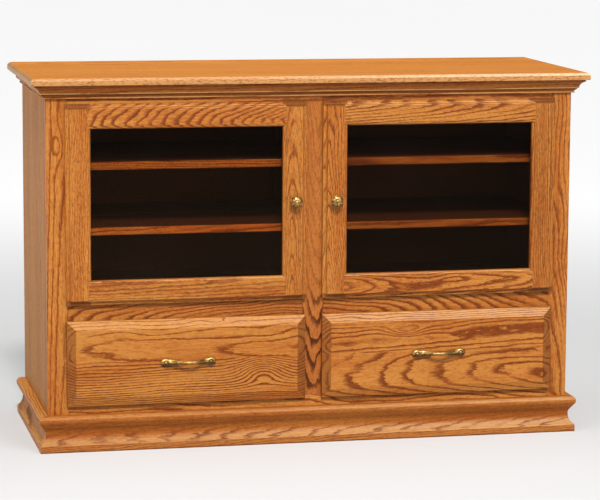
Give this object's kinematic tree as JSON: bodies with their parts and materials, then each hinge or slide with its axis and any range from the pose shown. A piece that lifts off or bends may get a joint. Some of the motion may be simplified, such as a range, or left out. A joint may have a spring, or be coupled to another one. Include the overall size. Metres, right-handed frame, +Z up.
{
  "type": "tv console",
  "caption": "Oak television console with glazed doors over bevelled drawers, crown and base mouldings, shelves inside, and hinges and slides that work.",
  "frame": {"origin": "middle of the whole object's outline, on the floor", "axes": "+X to the viewer's right, -Y towards the viewer, +Z up"},
  "size_m": [1.396, 0.543, 0.916],
  "materials": {
    "oak": "golden oak stain under satin lacquer",
    "oak_top": "golden oak stain under satin lacquer, seen from above",
    "oak_inside": "oak veneer under matt lacquer",
    "plywood": "plain plywood and softwood under thin lacquer",
    "maple": "pale hardwood under clear lacquer",
    "antique_brass": "polished brass with dark low parts",
    "plated_steel": "bright zinc or nickel plate",
    "smoked_glass": "clear, slightly smoked"
  },
  "bodies": {
    "carcass": {"top_panel": "oak_top", "crown_front": "oak", "crown_left": "oak", "crown_right": "oak", "side_left": "oak", "side_right": "oak", "stile_left": "oak", "stile_centre": "oak", "stile_right": "oak", "rail_top": "oak", "rails_middle": "oak", "rail_bottom": "oak", "base_front": "oak", "base_left": "oak", "base_right": "oak", "blocks_and_cleats": "plywood", "bottom_panel": "oak_inside", "deck": "oak_inside", "partition": "oak_inside", "drawer_divider": "oak_inside", "back_panel": "plywood", "shelf_left_upper": "oak_inside", "shelf_left_lower": "oak_inside", "shelf_right_upper": "oak_inside", "shelf_right_lower": "oak_inside", "shelf_pins": "plated_steel", "hinge_arms": "plated_steel", "slide_spacers": "plywood", "slide_channels": "plated_steel"},
    "left_door": {"left_door_hinge_stile": "oak", "left_door_latch_stile": "oak", "left_door_top_rail": "oak", "left_door_bottom_rail": "oak", "left_door_glass": "smoked_glass", "left_door_glass_stops": "oak", "left_door_hinge_cups": "plated_steel", "left_door_knob": "antique_brass"},
    "right_door": {"right_door_hinge_stile": "oak", "right_door_latch_stile": "oak", "right_door_top_rail": "oak", "right_door_bottom_rail": "oak", "right_door_glass": "smoked_glass", "right_door_glass_stops": "oak", "right_door_hinge_cups": "plated_steel", "right_door_knob": "antique_brass"},
    "left_drawer": {"left_drawer_front": "oak", "left_drawer_sides": "maple", "left_drawer_ends": "maple", "left_drawer_bottom": "plywood", "left_drawer_pull": "antique_brass", "left_drawer_runners": "plated_steel"},
    "left_slide_links": {"left_slide_links": "plated_steel"},
    "right_drawer": {"right_drawer_front": "oak", "right_drawer_sides": "maple", "right_drawer_ends": "maple", "right_drawer_bottom": "plywood", "right_drawer_pull": "antique_brass", "right_drawer_runners": "plated_steel"},
    "right_slide_links": {"right_slide_links": "plated_steel"}
  },
  "joints": [
    {"name": "left_door_hinge", "type": "hinge", "parent": "carcass", "child": "left_door", "pos_m": [-0.608, -0.231, 0.6065], "axis": [0, 0, -1], "range_deg": [0, 95]},
    {"name": "right_door_hinge", "type": "hinge", "parent": "carcass", "child": "right_door", "pos_m": [0.608, -0.231, 0.6065], "axis": [0, 0, 1], "range_deg": [0, 95]},
    {"name": "left_drawer_slide", "type": "slide", "parent": "carcass", "child": "left_drawer", "axis": [0, -1, 0], "range_m": [0, 0.4]},
    {"name": "left_link_slide", "type": "slide", "parent": "carcass", "child": "left_slide_links", "axis": [0, -1, 0], "range_m": [0, 0.2]},
    {"name": "right_drawer_slide", "type": "slide", "parent": "carcass", "child": "right_drawer", "axis": [0, -1, 0], "range_m": [0, 0.4]},
    {"name": "right_link_slide", "type": "slide", "parent": "carcass", "child": "right_slide_links", "axis": [0, -1, 0], "range_m": [0, 0.2]}
  ],
  "couplings": [
    {"joint": "left_link_slide", "follows": "left_drawer_slide", "ratio": 0.5},
    {"joint": "right_link_slide", "follows": "right_drawer_slide", "ratio": 0.5}
  ]
}
